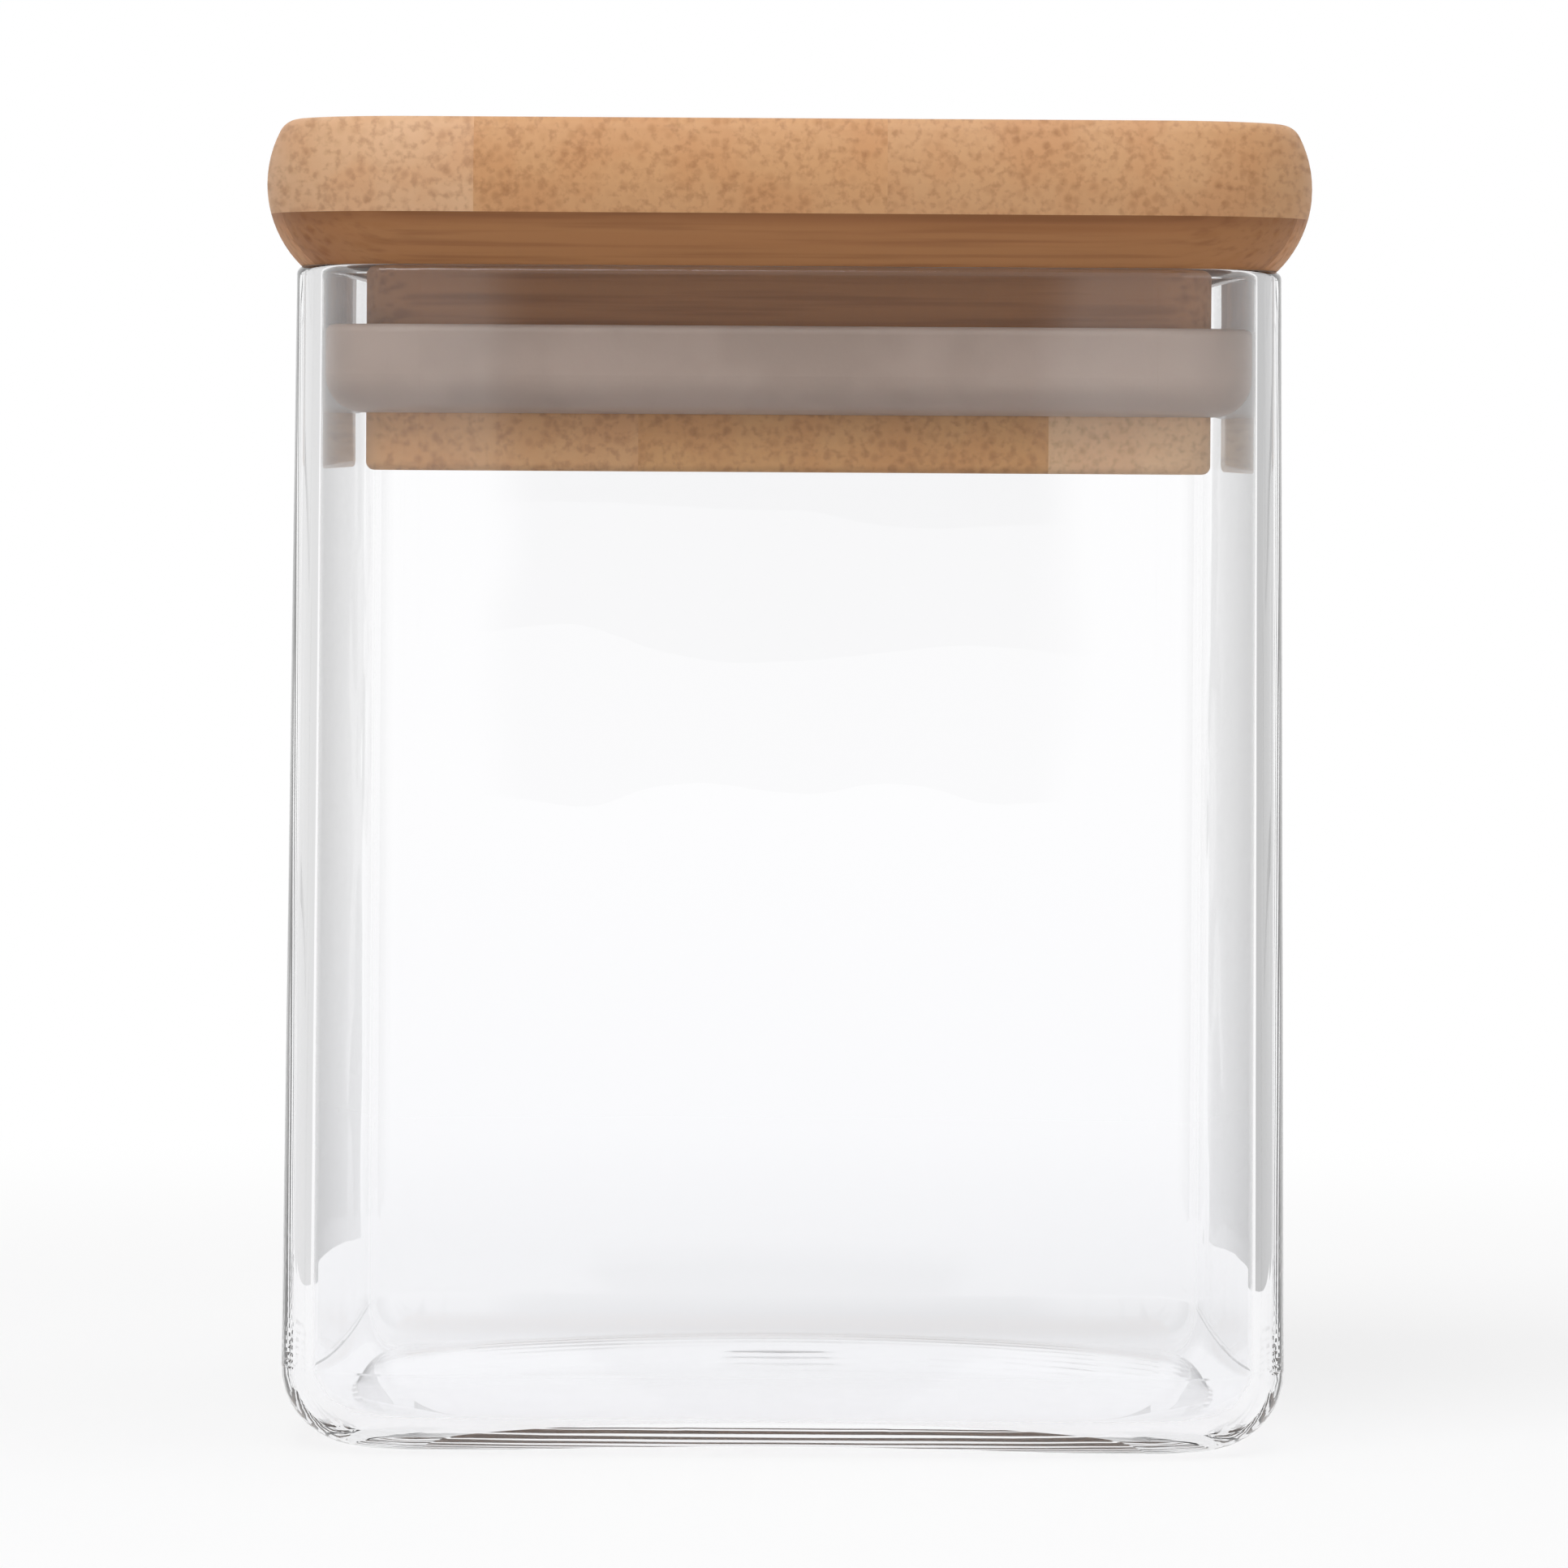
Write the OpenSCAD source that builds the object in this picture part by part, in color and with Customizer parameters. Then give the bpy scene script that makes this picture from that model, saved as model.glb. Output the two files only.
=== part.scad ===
// Square glass spice jar with a bamboo lid and a silicone seal ring.
// Millimetres, +Z up. The origin is the middle of the base, on the surface the jar stands on.

/* [Jar] */
// Outside width of the jar just above its rounded base
jar_w = 60.7; // [50:0.1:90]
// How much each side leans in from there to the rim
jar_taper = 0.65; // [0:0.05:1.2]
// Height of the jar without its lid
jar_h = 71.2; // [50:0.1:140]
// Thickness of the wall just above the base
wall_base = 1.9; // [1.3:0.05:3]
// Thickness of the wall at the rim
wall_rim = 1.5; // [1.3:0.05:3]
// Thickness of the floor
floor_t = 1.9; // [1.2:0.05:4]
// Outside radius of the four upright corners, seen from above
corner_r = 8.3; // [6.5:0.1:14]
// Outside radius where the wall turns into the base
heel_r = 4.8; // [3:0.1:6]
// Inside radius where the wall turns into the floor
cove_r = 2.9; // [1:0.1:4]
// Rounding of the rim's two edges
rim_edge_r = 0.55; // [0.2:0.05:0.6]
// How far the middle of the base is pushed up
base_rise = 1.85; // [0.5:0.05:3]
// Width of the flat foot left at each corner of the base
foot_w = 2.2; // [1:0.1:3]

/* [Lid cap] */
// How far the cap's widest line stands out past the rim on each side
cap_over = 1.8; // [0.5:0.1:5]
// Thickness of the cap
cap_h = 8.8; // [7:0.1:14]
// Height of the cap's widest line above its underside
cap_wide_z = 4.9; // [3:0.1:5.5]
// How far the round side draws in from the widest line to the underside
cap_under_in = 2.05; // [0.5:0.05:2.8]
// How far the round side draws in from the widest line to the top
cap_top_in = 1.2; // [0.3:0.05:2]
// Rounding of the cap's top edge
cap_edge_r = 1.3; // [0.5:0.1:1.8]
// Radius of the cap's corners at its widest line, seen from above
cap_corner_r = 9.5; // [8:0.1:14]

/* [Lid plug] */
// Space between the plug and the glass at the rim, which the seal's lip fills
plug_space = 2.7; // [1.5:0.1:5]
// How deep the plug reaches below the cap
plug_h = 12.3; // [10:0.1:20]
// Radius of the plug's corners, seen from above
plug_corner_r = 3.7; // [2.5:0.1:8]
// Rounding of the plug's bottom edge
plug_edge_r = 0.5; // [0.2:0.1:1]

/* [Bamboo board] */
// Thickness of the board's top layer
top_layer_t = 5.7; // [4:0.1:6.5]
// Thickness of the board's bottom layer
bottom_layer_t = 5.4; // [3:0.1:6.5]
// Width of the strips in the top and bottom layers, which run from front to back
flat_strip_w = 24.6; // [15:0.1:25]
// Width that is left of the top layer's first strip, on the left
top_first_w = 12.7; // [5:0.1:24]
// Width that is left of the bottom layer's first strip, on the left
bottom_first_w = 16.5; // [5:0.1:24]
// Number of strips on edge in the middle layer, which run from left to right
core_count = 11; // [5:1:13]
// How far the middle layer's inner strips reach past the front and back of the plug
core_lap = 0.3; // [0.1:0.05:0.5]

/* [Seal] */
// Height of the seal ring
seal_h = 5.3; // [4:0.1:8]
// Distance from the cap's underside to the top of the ring
seal_drop = 3.55; // [1:0.05:4.5]
// Rounding under the ring's lip
seal_under_r = 2.3; // [0.8:0.1:2.4]
// Rounding of the ring's top edge
seal_top_r = 0.5; // [0.2:0.05:0.8]
// Gap between the ring's lip and the glass
seal_gap = 0.25; // [0.1:0.05:0.5]
// Depth of the groove that holds the ring
groove_d = 1.2; // [0.5:0.1:1.6]
// Height of the groove
groove_h = 3.2; // [2:0.1:3.6]
// Gap between the ring and the plug
seal_fit = 0.05; // [0.02:0.01:0.1]

/* [Hidden] */
$fn = 96;
dome_fn = 1440;
past = 1;
shade_step = 0.05;
least_share = 0.3;

// The jar's upright corners, and the lip of the seal, turn about one line in each corner
jar_centre = jar_w / 2 - corner_r;
rim_r = corner_r - jar_taper;
inner_base_r = corner_r - wall_base;
inner_rim_r = rim_r - wall_rim;
rim_w = jar_w - 2 * jar_taper;
mouth_w = rim_w - 2 * wall_rim;

// The base is pushed up along a sphere that leaves a flat foot at each corner
foot_reach = jar_centre * sqrt(2) + corner_r - heel_r;
arch_reach = foot_reach - foot_w;
arch_r = (arch_reach * arch_reach + base_rise * base_rise) / (2 * base_rise);
arch_z = base_rise - arch_r;

// The cap sits on the rim. Its side is an arc below the widest line, an arc above it, and a small
// round edge that runs on from the upper arc into the flat top.
cap_w = rim_w + 2 * cap_over;
cap_z = jar_h;
lid_top = cap_z + cap_h;
cap_centre = cap_w / 2 - cap_corner_r;
wide_z = cap_z + cap_wide_z;
crown_h = lid_top - wide_z;
under_r = (cap_wide_z * cap_wide_z + cap_under_in * cap_under_in) / (2 * cap_under_in);
crown_r = (crown_h * crown_h + cap_top_in * cap_top_in) / (2 * cap_top_in);
crown_x = cap_corner_r - crown_r;
edge_z = lid_top - cap_edge_r;
edge_x = crown_x + sqrt(pow(crown_r - cap_edge_r, 2) - pow(edge_z - wide_z, 2));
blend_z = wide_z + (edge_z - wide_z) * crown_r / (crown_r - cap_edge_r);

// The plug hangs from the cap inside the mouth
plug_w = mouth_w - 2 * plug_space;
plug_z = cap_z - plug_h;
plug_centre = plug_w / 2 - plug_corner_r;

// The board has three layers. Strips lie flat in the top and bottom ones and stand on edge, crosswise,
// in the middle one, whose first and last strips take what the cap has beyond the plug.
core_top_z = lid_top - top_layer_t;
core_z = plug_z + bottom_layer_t;
core_w = plug_w + 2 * core_lap;
core_t = core_w / (core_count - 2);
top_joint_x = top_first_w - cap_w / 2;
bottom_joint_x = bottom_first_w - plug_w / 2;
top_count = flat_count(cap_w, top_first_w);
bottom_count = flat_count(plug_w, bottom_first_w);

// The seal ring's lip reaches towards the glass, and its tongue fills a groove round the plug
seal_top = cap_z - seal_drop;
seal_z = seal_top - seal_h;
lip_r = inner_rim_r - seal_gap;
groove_z = seal_z + (seal_h - groove_h) / 2;
groove_r = plug_corner_r - groove_d;

TOP_STRIPS = numbered("top_strip_", top_count);
CORE_STRIPS = numbered("core_strip_", core_count);
BOTTOM_STRIPS = numbered("bottom_strip_", bottom_count);

// Number of flat strips across a layer. A rest narrower than least_share of a strip goes to the last one.
function flat_count(w, first_w) = 1 + floor((w - first_w) / flat_strip_w + 1 - least_share);

function numbered(name, count) = [for (i = [1:count]) str(name, i)];

// A quarter of a disc, on the sides of its centre that the signs in side give
module quarter_disc(at, r, side) {
    translate(at) intersection() {
        circle(r);
        translate([min(side[0], 0) * r, min(side[1], 0) * r]) square(r);
    }
}

// Carries a profile round a square with rounded corners. The profile is drawn to the right of the
// upright line that each corner turns about, and centre is that line's distance from the middle.
module round_square(centre) {
    for (quarter = [0:3]) rotate([0, 0, 90 * quarter]) translate([centre, centre, 0]) {
        rotate_extrude(angle = 90) children();
        rotate([90, 0, 0]) linear_extrude(2 * centre) children();
    }
}

// The same, filled in between the corner lines from height z0 to z1
module round_block(centre, z0, z1) {
    round_square(centre) children();
    translate([-centre, -centre, z0]) cube([2 * centre, 2 * centre, z1 - z0]);
}

// Profile of the jar's outside: tapered wall, round heel and round rim edge
module jar_profile() {
    heel_x = corner_r - heel_r;
    rim_x = rim_r - rim_edge_r;
    rim_z = jar_h - rim_edge_r;
    polygon([[0, heel_r], [corner_r, heel_r], [rim_r, rim_z], [rim_x, rim_z], [rim_x, jar_h], [0, jar_h]]);
    square([heel_x, heel_r]);
    quarter_disc([heel_x, heel_r], heel_r, [1, -1]);
    quarter_disc([rim_x, rim_z], rim_edge_r, [1, 1]);
}

// Profile of the jar's inside, opening out over the rim's inner edge
module cavity_profile() {
    cove_x = inner_base_r - cove_r;
    cove_z = floor_t + cove_r;
    flare_x = inner_rim_r + rim_edge_r;
    flare_z = jar_h - rim_edge_r;
    polygon([[0, cove_z], [inner_base_r, cove_z], [inner_rim_r, flare_z], [0, flare_z]]);
    translate([0, floor_t]) square([cove_x, cove_r]);
    quarter_disc([cove_x, cove_z], cove_r, [1, -1]);
    difference() {
        translate([0, flare_z]) square([flare_x, rim_edge_r + past]);
        quarter_disc([flare_x, flare_z], rim_edge_r, [-1, 1]);
    }
}

// The shallow dome under the base, or the one over the floor that stands off from it
module base_dome(stand_off) {
    rotate_extrude() intersection() {
        translate([0, arch_z]) circle(arch_r + stand_off, $fn = dome_fn);
        translate([0, -past]) square([jar_w, base_rise + floor_t + 2 * past]);
    }
}

module glass_jar() {
    color([0.86, 0.9, 0.93, 0.35]) difference() {
        round_block(jar_centre, 0, jar_h) jar_profile();
        difference() {
            round_block(jar_centre, floor_t, jar_h + past) cavity_profile();
            base_dome(floor_t);
        }
        base_dome(0);
    }
}

// Profile of the cap: flat underside, round side, small round edge and flat top
module cap_profile() {
    translate([0, cap_z]) square([min(crown_x, cap_corner_r - under_r), cap_h]);
    intersection() {
        translate([cap_corner_r - under_r, wide_z]) circle(under_r);
        translate([0, cap_z]) square([cap_corner_r, cap_wide_z]);
    }
    intersection() {
        translate([crown_x, wide_z]) circle(crown_r);
        translate([0, wide_z]) square([cap_corner_r, blend_z - wide_z]);
    }
    translate([0, blend_z]) square([edge_x, lid_top - blend_z]);
    translate([edge_x, edge_z]) circle(cap_edge_r);
}

// Profile of the plug, with its bottom edge rounded
module plug_profile() {
    foot_x = plug_corner_r - plug_edge_r;
    foot_z = plug_z + plug_edge_r;
    translate([0, foot_z]) square([plug_corner_r, cap_z - foot_z]);
    translate([0, plug_z]) square([foot_x, plug_edge_r]);
    quarter_disc([foot_x, foot_z], plug_edge_r, [1, -1]);
}

// The whole lid before it is cut into strips: cap, plug and the groove for the seal
module lid_block() {
    round_block(cap_centre, cap_z, lid_top) cap_profile();
    difference() {
        round_block(plug_centre, plug_z, cap_z) plug_profile();
        round_square(plug_centre) translate([groove_r, groove_z]) square([groove_d + past, groove_h]);
    }
}

// The part of the lid that lies between two corners of a box, as bamboo of one shade
module lid_part(low, high, shade) {
    color([0.8, 0.64, 0.44] * (1 - shade)) intersection() {
        lid_block();
        translate(low) cube(high - low);
    }
}

// A strip that lies flat and runs from front to back, counted from the left
module flat_strip(i, count, joint_x, z0, z1, shade) {
    left = i == 1 ? -cap_w : joint_x + (i - 2) * flat_strip_w;
    right = i == count ? cap_w : joint_x + (i - 1) * flat_strip_w;
    lid_part([left, -cap_w, z0], [right, cap_w, z1], shade + shade_step * (i % 2));
}

module top_strip(i) {
    flat_strip(i, top_count, top_joint_x, core_top_z, lid_top + past, 0);
}

module bottom_strip(i) {
    flat_strip(i, bottom_count, bottom_joint_x, plug_z - past, core_z, shade_step);
}

// A strip that stands on edge and runs from left to right, counted from the front
module core_strip(i) {
    front = i == 1 ? -cap_w : (i - 2) * core_t - core_w / 2;
    back = i == core_count ? cap_w : (i - 1) * core_t - core_w / 2;
    lid_part([-cap_w, front, core_z], [cap_w, back, core_top_z], shade_step * (3 + i % 2));
}

// Profile of the lip that reaches towards the glass
module lip_profile() {
    under_x = lip_r - seal_under_r;
    top_x = lip_r - seal_top_r;
    translate([0, seal_z + seal_under_r]) square([lip_r, seal_h - seal_under_r - seal_top_r]);
    translate([0, seal_z]) square([under_x, seal_under_r]);
    translate([0, seal_top - seal_top_r]) square([top_x, seal_top_r]);
    quarter_disc([under_x, seal_z + seal_under_r], seal_under_r, [1, -1]);
    quarter_disc([top_x, seal_top - seal_top_r], seal_top_r, [1, 1]);
}

module seal_ring() {
    hole_r = plug_corner_r + seal_fit;
    tongue_r = groove_r + seal_fit;
    color([0.74, 0.69, 0.67]) {
        difference() {
            round_block(jar_centre, seal_z, seal_top) lip_profile();
            round_block(plug_centre, seal_z - past, seal_top + past)
                translate([0, seal_z - past]) square([hole_r, seal_h + 2 * past]);
        }
        round_square(plug_centre) translate([tongue_r, groove_z + seal_fit])
            square([hole_r - tongue_r, groove_h - 2 * seal_fit]);
    }
}

glass_jar();
seal_ring();
for (i = [1:top_count]) top_strip(i);
for (i = [1:core_count]) core_strip(i);
for (i = [1:bottom_count]) bottom_strip(i);
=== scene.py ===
import math

import bpy
from mathutils import Matrix, Vector


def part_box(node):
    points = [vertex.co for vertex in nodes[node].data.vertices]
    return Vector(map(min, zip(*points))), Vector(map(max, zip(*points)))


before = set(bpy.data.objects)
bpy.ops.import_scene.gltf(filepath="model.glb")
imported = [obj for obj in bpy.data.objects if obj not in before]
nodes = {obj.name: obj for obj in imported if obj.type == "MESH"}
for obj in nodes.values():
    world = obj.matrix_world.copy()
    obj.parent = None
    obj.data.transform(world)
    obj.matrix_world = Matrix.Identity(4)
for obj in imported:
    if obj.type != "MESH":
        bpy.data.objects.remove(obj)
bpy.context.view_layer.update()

print("frame loaded:", len(nodes), "nodes")


# Shader links. Sums and products of links add Math nodes.
class Link:
    def __init__(self, tree, socket=None):
        self.tree = tree
        self.socket = socket

    def node(self, kind, settings=None, inputs=None, out=0):
        made = self.tree.nodes.new("ShaderNode" + kind)
        for name, value in (settings or {}).items():
            setattr(made, name, value)
        for name, value in (inputs or {}).items():
            if isinstance(value, Link):
                self.tree.links.new(value.socket, made.inputs[name])
            else:
                made.inputs[name].default_value = value
        return Link(self.tree, made.outputs[out] if made.outputs else None)

    def maths(self, operation, *values):
        return self.node("Math", {"operation": operation}, dict(enumerate(values)))

    def __add__(self, other):
        return self.maths("ADD", self, other)

    def __rsub__(self, other):
        return self.maths("SUBTRACT", other, self)

    def __mul__(self, other):
        return self.maths("MULTIPLY", self, other)

    __radd__ = __add__
    __rmul__ = __mul__

    def within(self, low, high):  # 0 at low, 1 at high, smooth between
        settings = {"interpolation_type": "SMOOTHSTEP"}
        return self.node("MapRange", settings, {"Value": self, "From Min": low, "From Max": high})

    def noise(self, place, scale, detail):
        return self.node("TexNoise", None, {"Vector": place, "Scale": scale, "Detail": detail})

    def colour(self, factor, first, second):  # Mix's sockets share their names, so they go by number
        return self.node("Mix", {"data_type": "RGBA"}, {0: factor, 6: first, 7: second}, out=2)


def srgb(red, green, blue):  # a colour as a paint chart gives it, 0 to 255
    def linear(value):
        value /= 255
        return value / 12.92 if value <= 0.04045 else ((value + 0.055) / 1.055) ** 2.4
    return (linear(red), linear(green), linear(blue), 1)


def tinted(tone, shares):
    return srgb(*[min(255, value * share) for value, share in zip(tone, shares)])


def newMaterial(name):
    material = bpy.data.materials.new(name)
    material.use_nodes = True
    material.node_tree.nodes.clear()
    return material, Link(material.node_tree)


def dress(piece, material):
    piece.data.materials.clear()
    piece.data.materials.append(material)


# Bamboo lid: strips lie flat on the top and bottom, and the core's strips stand on edge crosswise
bamboo = {
    "topTones": [(208, 165, 126), (198, 149, 103), (197, 150, 106)],
    "coreTones": [(158, 107, 63), (184, 131, 84), (166, 115, 71)],
    "bottomTones": [(206, 157, 108), (203, 152, 98), (216, 176, 134)],
    "darkShare": (0.76, 0.68, 0.60),  # dots, fibres, and the glue joint with its painted shade, against the strip's own tone
    "paleShare": (1.05, 1.06, 1.08),
    "ruddyShare": (0.97, 0.86, 0.76),
    "plainShare": 0.45,  # how much of the strip's own tone covers the pale and ruddy mottle
    "stretch": 0.03,  # the pattern's scale along the fibre, as a share of its scale across
    "bundleSize": 0.00075,  # width of the dots in the end grain
    "bundleScatter": 0.85,
    "bundleEdge": (0.12, 0.52),
    "bundleDepth": 0.42,
    "bundlesBetween": 0.25,  # how much of the dots is left between the ruddy patches
    "mottleSize": 0.004,
    "mottleDetail": 3.0,
    "mottleEdge": (0.38, 0.66),
    "mottleDepth": 0.55,
    "fibreSize": 0.00045,
    "fibreDetail": 2.0,
    "fibreEdge": (0.45, 0.75),
    "fibreDepth": 0.45,
    "glueShadeHeight": 0.0011,  # height of the band under the top layer that holds the dark glue joint and painted shade
    "glueShadeDepth": 0.35,
    "roughness": 0.56,
    "bundleRoughness": 0.1,
    "specular": 0.35,
    "bump": 0.22,
    "bumpHeight": 0.00012,
    "bundleRelief": 0.6,
    "fibreRelief": 0.4,
    "seedShift": (3.17, 1.31, 2.23),  # moves the pattern from one strip to the next
    "layerSeeds": 11,  # seeds kept for each layer
}


def bambooMaterial(name, tone, fibreAxis, seed, glueShadeTop):
    material, link = newMaterial(name)
    place = link.node("TexCoord", out="Object")

    def spread(size):
        scale = [1 / size] * 3
        scale[fibreAxis] *= bamboo["stretch"]
        shift = tuple(seed * step for step in bamboo["seedShift"])
        return link.node("Mapping", None, {"Vector": place, "Location": shift, "Scale": scale})

    cells = link.node("TexVoronoi", {"feature": "F1"}, {
        "Vector": spread(bamboo["bundleSize"]), "Scale": 1.0, "Randomness": bamboo["bundleScatter"]})
    mottle = link.noise(spread(bamboo["mottleSize"]), 1.0, bamboo["mottleDetail"])
    fibres = link.noise(spread(bamboo["fibreSize"]), 1.0, bamboo["fibreDetail"])
    bundles = 1 - cells.within(*bamboo["bundleEdge"])
    patches = mottle.within(*bamboo["mottleEdge"])
    between = bamboo["bundlesBetween"]
    bundleShare = bundles * (patches * (1 - between) + between)

    dark = tinted(tone, bamboo["darkShare"])
    pale = tinted(tone, bamboo["paleShare"])
    ruddy = tinted(tone, bamboo["ruddyShare"])
    colour = link.colour(patches * bamboo["mottleDepth"], pale, ruddy)
    colour = link.colour(bamboo["plainShare"], colour, srgb(*tone))
    colour = link.colour(bundleShare * bamboo["bundleDepth"], colour, dark)
    colour = link.colour(fibres.within(*bamboo["fibreEdge"]) * bamboo["fibreDepth"], colour, dark)
    # The core's top is darkened over a thin band: a dark glue joint plus painted shade, standing in for
    # the shadow where the cap's rounded front turns away from the light.
    if glueShadeTop is not None:
        height = link.node("SeparateXYZ", None, {"Vector": place}, out="Z")
        glueShade = height.within(glueShadeTop - bamboo["glueShadeHeight"], glueShadeTop)
        depth = bamboo["glueShadeDepth"] + bamboo["glueShadeDepth"] * patches
        colour = link.colour(glueShade * depth, colour, dark)

    relief = bundleShare * bamboo["bundleRelief"] + fibres * bamboo["fibreRelief"]
    bump = link.node("Bump", None, {
        "Height": relief, "Strength": bamboo["bump"], "Distance": bamboo["bumpHeight"]})
    shader = link.node("BsdfPrincipled", None, {
        "Base Color": colour,
        "Roughness": bamboo["roughness"] + bamboo["bundleRoughness"] * bundles,
        "Normal": bump,
        "Specular IOR Level": bamboo["specular"]})
    link.node("OutputMaterial", None, {"Surface": shader})
    return material


def stripsNamed(start):
    found = [name for name in nodes if name.startswith(start)]
    return sorted(found, key=lambda name: int(name.split("_")[-1]))


def dressLid():
    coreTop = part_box("core_strip_2")[1].z
    acrossAxis, depthAxis = 0, 1  # the way the fibres run: X left to right, Y front to back
    layers = [
        ("top_strip_", "topTones", depthAxis, None),
        ("core_strip_", "coreTones", acrossAxis, coreTop),
        ("bottom_strip_", "bottomTones", depthAxis, None),
    ]
    for layer, (start, toneKey, fibreAxis, glueShadeTop) in enumerate(layers):
        tones = bamboo[toneKey]
        for index, name in enumerate(stripsNamed(start)):
            tone = tones[index % len(tones)]
            seed = bamboo["layerSeeds"] * layer + index + 1
            material = bambooMaterial("bamboo_" + name, tone, fibreAxis, seed, glueShadeTop)
            dress(nodes[name], material)
    print("lid dressed")


# Silicone ring: grey, satin, lets a little light through
silicone = {
    "tone": (180, 160, 147),
    "cloud": (168, 148, 135),
    "cloudSize": 0.006,
    "cloudDetail": 3.0,
    "cloudEdge": (0.35, 0.68),
    "dustScale": 2600.0,
    "dustDetail": 2.0,
    "roughness": 0.38,
    "dustRoughness": 0.12,
    "bump": 0.12,
    "bumpHeight": 0.00006,
    "glow": 0.25,
    "glowColour": (1.0, 0.9, 0.85),
    "glowReach": 0.002,
}


def dressSeal():
    material, link = newMaterial("greySilicone")
    place = link.node("TexCoord", out="Object")
    clouds = link.noise(place, 1 / silicone["cloudSize"], silicone["cloudDetail"])
    dust = link.noise(place, silicone["dustScale"], silicone["dustDetail"])
    cloudShare = clouds.within(*silicone["cloudEdge"])
    colour = link.colour(cloudShare, srgb(*silicone["tone"]), srgb(*silicone["cloud"]))
    bump = link.node("Bump", None, {
        "Height": dust, "Strength": silicone["bump"], "Distance": silicone["bumpHeight"]})
    shader = link.node("BsdfPrincipled", None, {
        "Base Color": colour,
        "Roughness": silicone["roughness"] + silicone["dustRoughness"] * dust,
        "Normal": bump,
        "Subsurface Weight": silicone["glow"],
        "Subsurface Radius": silicone["glowColour"],
        "Subsurface Scale": silicone["glowReach"]})
    link.node("OutputMaterial", None, {"Surface": shader})
    dress(nodes["seal_ring"], material)
    print("seal dressed")


# Clear glass: faintly lavender low down, with the slight waves of a blown jar
glass = {
    "clear": (0.992, 0.992, 0.996, 1),
    "tint": (0.972, 0.974, 0.985, 1),
    "tintTop": 0.045,  # height at which the tint has faded out
    "waveSize": 0.014,
    "waveDetail": 1.0,
    "waveDepth": 0.00005,
    "bump": 0.35,
    "roughness": 0.004,
    "ior": 1.47,
    "shadowTint": (0.97, 0.97, 0.98, 1),
}


def dressGlass():
    material, link = newMaterial("clearGlass")
    place = link.node("TexCoord", out="Object")
    waves = link.noise(place, 1 / glass["waveSize"], glass["waveDetail"])
    height = link.node("SeparateXYZ", None, {"Vector": place}, out="Z")
    colour = link.colour(1 - height.within(0.0, glass["tintTop"]), glass["clear"], glass["tint"])
    bump = link.node("Bump", None, {
        "Height": waves, "Strength": glass["bump"], "Distance": glass["waveDepth"]})
    shader = link.node("BsdfPrincipled", None, {
        "Base Color": colour,
        "Roughness": glass["roughness"] * waves,
        "Normal": bump,
        "Transmission Weight": 1.0,
        "IOR": glass["ior"]})
    passing = link.node("BsdfTransparent", None, {"Color": glass["shadowTint"]})
    shadowRay = link.node("LightPath", out="Is Shadow Ray")
    surface = link.node("MixShader", None, {0: shadowRay, 1: shader, 2: passing})
    link.node("OutputMaterial", None, {"Surface": surface})
    dress(nodes["glass_jar"], material)
    print("glass dressed")


# Studio: white floor and surroundings, soft lamps, and four grey cards seen only through the glass.
# From the photo's side just the jar's thick edges show the cards. From a corner, or from above,
# they show through the plain walls too, as grey rectangles.
white = (1, 1, 1, 1)
studio = {
    "floorSize": 6.0,
    "floorColour": (0.9, 0.9, 0.91, 1),
    "floorGlow": 0.72,  # how much of the floor near the jar is plain white; the rest takes the shadow
    "fade": (0.07, 0.26),  # distances between which the floor turns all white
    "ambient": 0.25,  # the world's strength for light that matt surfaces gather
    "darkGap": (0.024, 0.031),  # half width of the dark gap that mirrors see in front: full, and gone
    "gapDepth": 0.65,
    "bounces": 40,
    "cardReach": 0.115,  # distance of the cards from the jar's middle
    "cardWidth": 0.115,
    "cardHeight": 0.14,
    "cardGap": 0.100,  # the cards show only in light that has come further than this from the glass
    "lineDepth": 2.5,  # glass faces crossed, past which a card takes the line tone
    "lineTone": 0.30,
    "bandTones": [0.74, 0.74, 0.52, 0.52],  # back left, front left, front right, back right
    "lampAim": (0, 0, 0.05),
}
lamps = {
    "keyLamp": {"place": (-0.22, -0.42, 0.74), "size": 0.45, "power": 3.7},
    "topLamp": {"place": (0.10, -0.05, 0.90), "size": 0.60, "power": 2.6},
    "fillLamp": {"place": (0.50, -0.62, 0.30), "size": 0.40, "power": 0.65},
}


def seenDirectly(link):  # camera, mirror and see-through rays, but not light that a matt surface gathers
    fromCamera, mirrored, through = [
        link.node("LightPath", out=f"Is {kind} Ray") for kind in ("Camera", "Glossy", "Transmission")]
    gathered = link.maths("MINIMUM", link.node("LightPath", out="Diffuse Depth"), 1.0)
    return link.maths("MINIMUM", fromCamera + mirrored + through, 1.0) * (1 - gathered)


def makeFloor():
    bpy.ops.mesh.primitive_plane_add(size=studio["floorSize"])
    floor = bpy.context.object
    floor.name = "floor"
    material, link = newMaterial("floorPaper")
    lit = link.node("BsdfDiffuse", None, {"Color": studio["floorColour"]})
    glow = link.node("Emission", None, {"Color": white, "Strength": 1.0})
    place = link.node("TexCoord", out="Object")
    far = link.node("VectorMath", {"operation": "LENGTH"}, {0: place}, out="Value")
    fade = far.within(*studio["fade"]) * (1 - studio["floorGlow"])
    share = seenDirectly(link) * (studio["floorGlow"] + fade)
    surface = link.node("MixShader", None, {0: share, 1: lit, 2: glow})
    link.node("OutputMaterial", None, {"Surface": surface})
    floor.data.materials.append(material)


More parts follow.
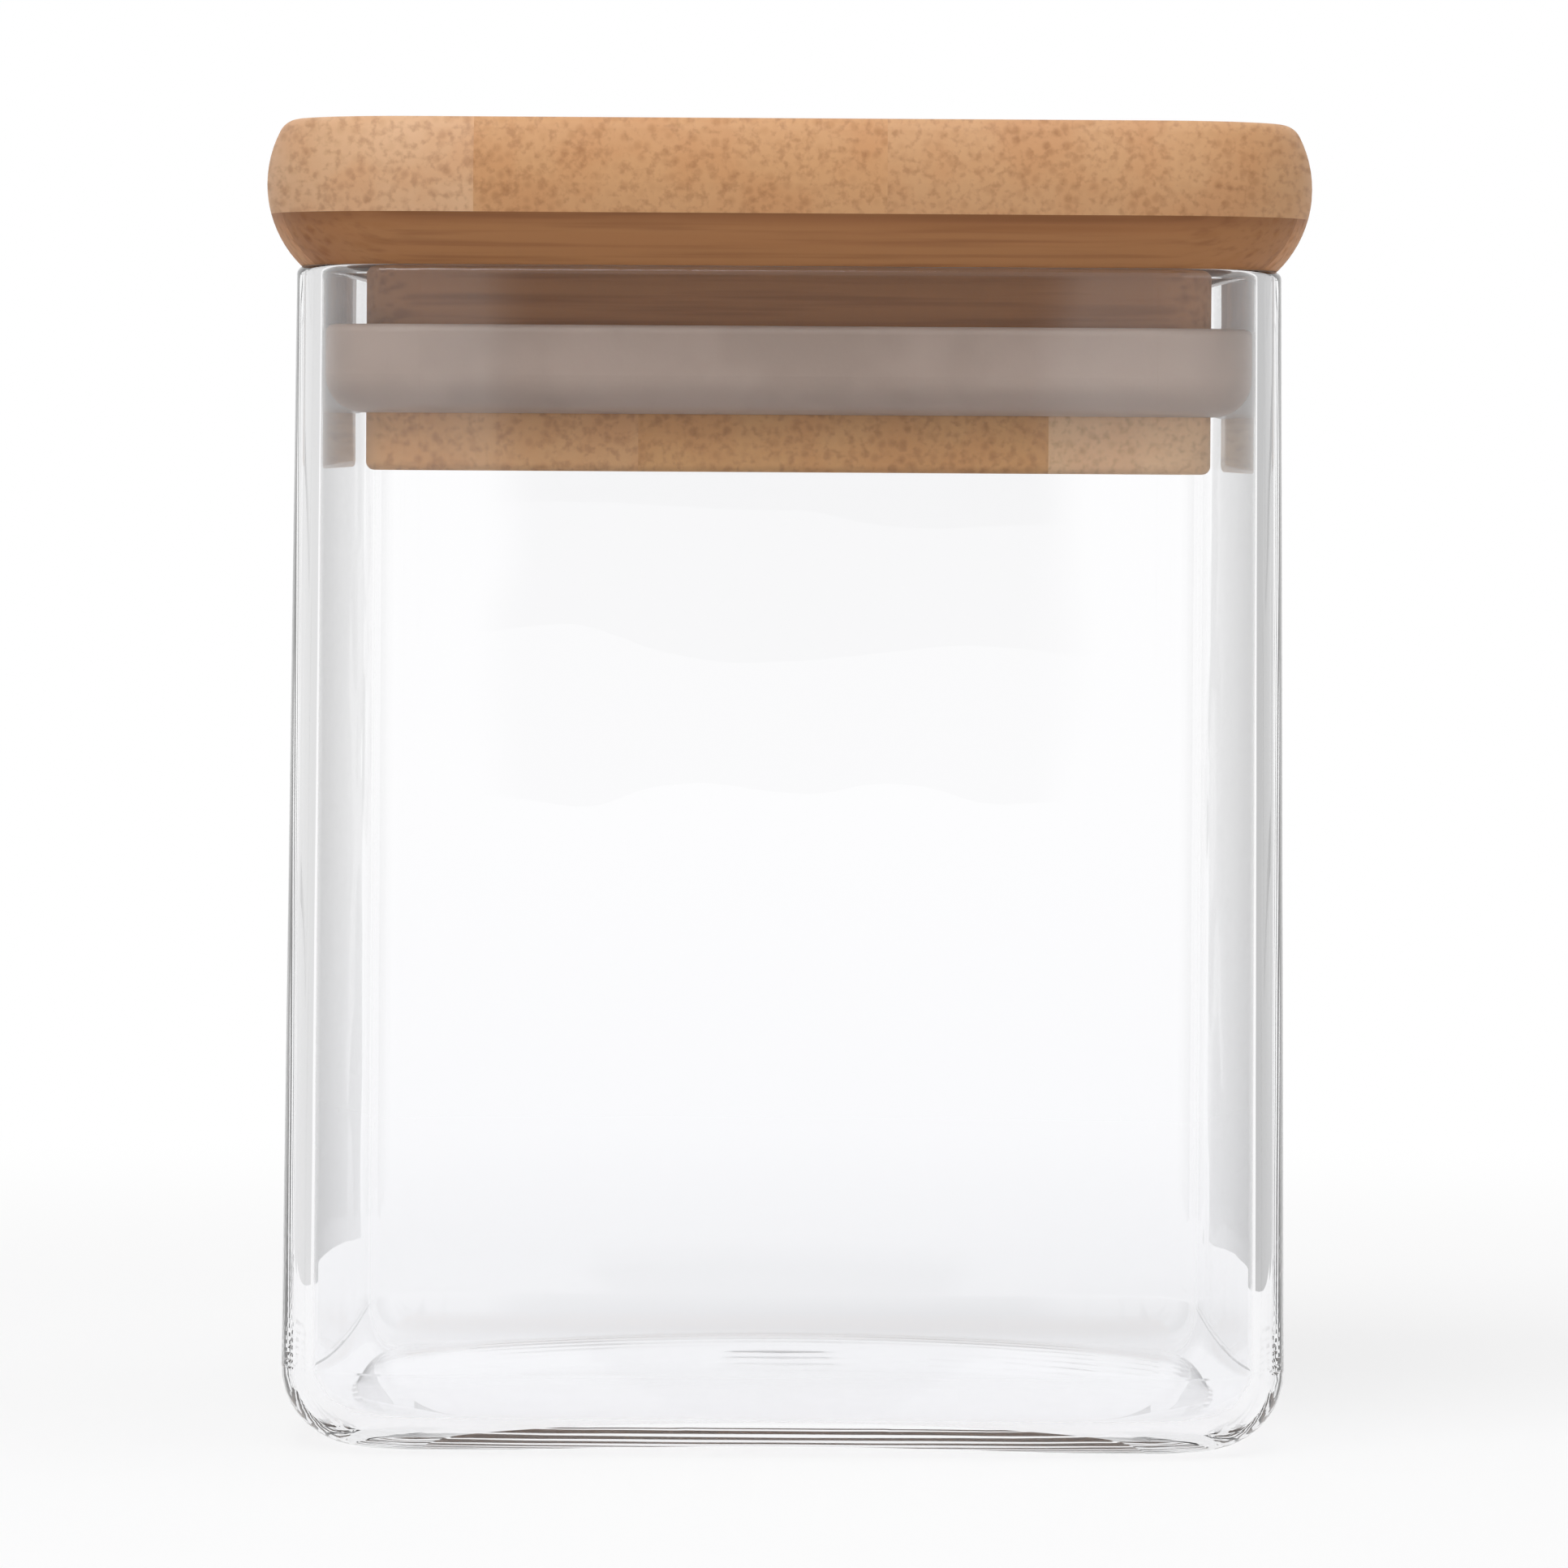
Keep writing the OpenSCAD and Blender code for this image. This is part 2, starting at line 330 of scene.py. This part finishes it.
def cardMaterial(bandTone):
    material, link = newMaterial("darkCard")
    crossed = link.node("LightPath", out="Transmission Depth")
    travelled = link.node("LightPath", out="Ray Length")
    pastLine = link.maths("GREATER_THAN", crossed, studio["lineDepth"])
    distant = link.maths("GREATER_THAN", travelled, studio["cardGap"])
    tone = bandTone + pastLine * (studio["lineTone"] - bandTone)
    grey = link.node("Emission", None, {"Color": white, "Strength": tone})
    nothing = link.node("BsdfTransparent")
    surface = link.node("MixShader", None, {0: distant, 1: nothing, 2: grey})
    link.node("OutputMaterial", None, {"Surface": surface})
    return material


def makeCards():
    upright = Matrix.Rotation(math.radians(90), 4, "X")
    size = Matrix.Diagonal((studio["cardWidth"], studio["cardHeight"], 1, 1))
    outward = Matrix.Translation((0, studio["cardReach"], studio["cardHeight"] / 2))
    for quarter, bandTone in enumerate(studio["bandTones"]):
        bpy.ops.mesh.primitive_plane_add(size=1)
        card = bpy.context.object
        card.name = f"card{quarter}"
        turn = Matrix.Rotation(math.radians(45 + 90 * quarter), 4, "Z")
        card.data.transform(turn @ outward @ upright @ size)
        card.data.materials.append(cardMaterial(bandTone))
        card.visible_camera = False
        card.visible_diffuse = False
        card.visible_glossy = False
        card.visible_shadow = False


def makeWorld():
    world = bpy.data.worlds.new("studioWorld")
    bpy.context.scene.world = world
    world.use_nodes = True
    world.node_tree.nodes.clear()
    link = Link(world.node_tree)
    direct = seenDirectly(link)
    way = link.node("TexCoord", out="Generated")
    across = link.maths("ABSOLUTE", link.node("SeparateXYZ", None, {"Vector": way}, out="X"))
    front = link.maths("LESS_THAN", link.node("SeparateXYZ", None, {"Vector": way}, out="Y"), 0.0)
    mirrored = link.node("LightPath", out="Is Glossy Ray")
    gap = (1 - across.within(*studio["darkGap"])) * front * mirrored
    strength = direct * (1 - gap * studio["gapDepth"]) + (1 - direct) * studio["ambient"]
    back = link.node("Background", None, {"Color": white, "Strength": strength})
    link.node("OutputWorld", None, {"Surface": back})


def makeLamps():
    for name, lampPlan in lamps.items():
        lampData = bpy.data.lights.new(name, "AREA")
        lampData.size = lampPlan["size"]
        lampData.energy = lampPlan["power"]
        lamp = bpy.data.objects.new(name, lampData)
        lamp.location = lampPlan["place"]
        aim = Vector(studio["lampAim"]) - Vector(lampPlan["place"])
        lamp.rotation_euler = aim.to_track_quat("-Z", "Y").to_euler()
        lamp.visible_camera = False
        lamp.visible_transmission = False
        bpy.context.collection.objects.link(lamp)


# Camera: a long lens nearly level with the lid's underside, tipped down a little
camera = {
    "distance": 0.620,
    "eyeHeight": 0.0593,
    "across": -0.00013,
    "sensor": 36,
    "lens": 227.3,
    "nearest": 0.01,
    "pitch": 1.84,  # degrees down
    "roll": 0.35,
}


def makeCamera():
    cameraData = bpy.data.cameras.new("photoCamera")
    cameraData.sensor_width = camera["sensor"]
    cameraData.lens = camera["lens"]
    cameraData.clip_start = camera["nearest"]
    view = bpy.data.objects.new("photoCamera", cameraData)
    bpy.context.collection.objects.link(view)
    place = Matrix.Translation((camera["across"], -camera["distance"], camera["eyeHeight"]))
    tip = Matrix.Rotation(math.radians(90 - camera["pitch"]), 4, "X")
    view.matrix_world = place @ tip @ Matrix.Rotation(math.radians(camera["roll"]), 4, "Z")
    bpy.context.scene.camera = view


dressLid()
dressSeal()
dressGlass()
makeFloor()
makeCards()
makeWorld()
makeLamps()
makeCamera()
scene = bpy.context.scene
scene.view_settings.view_transform = "Standard"
for kind in ("max", "transmission", "glossy"):  # light zigzags along the inside of a glass wall
    setattr(scene.cycles, kind + "_bounces", studio["bounces"])
print("studio set")
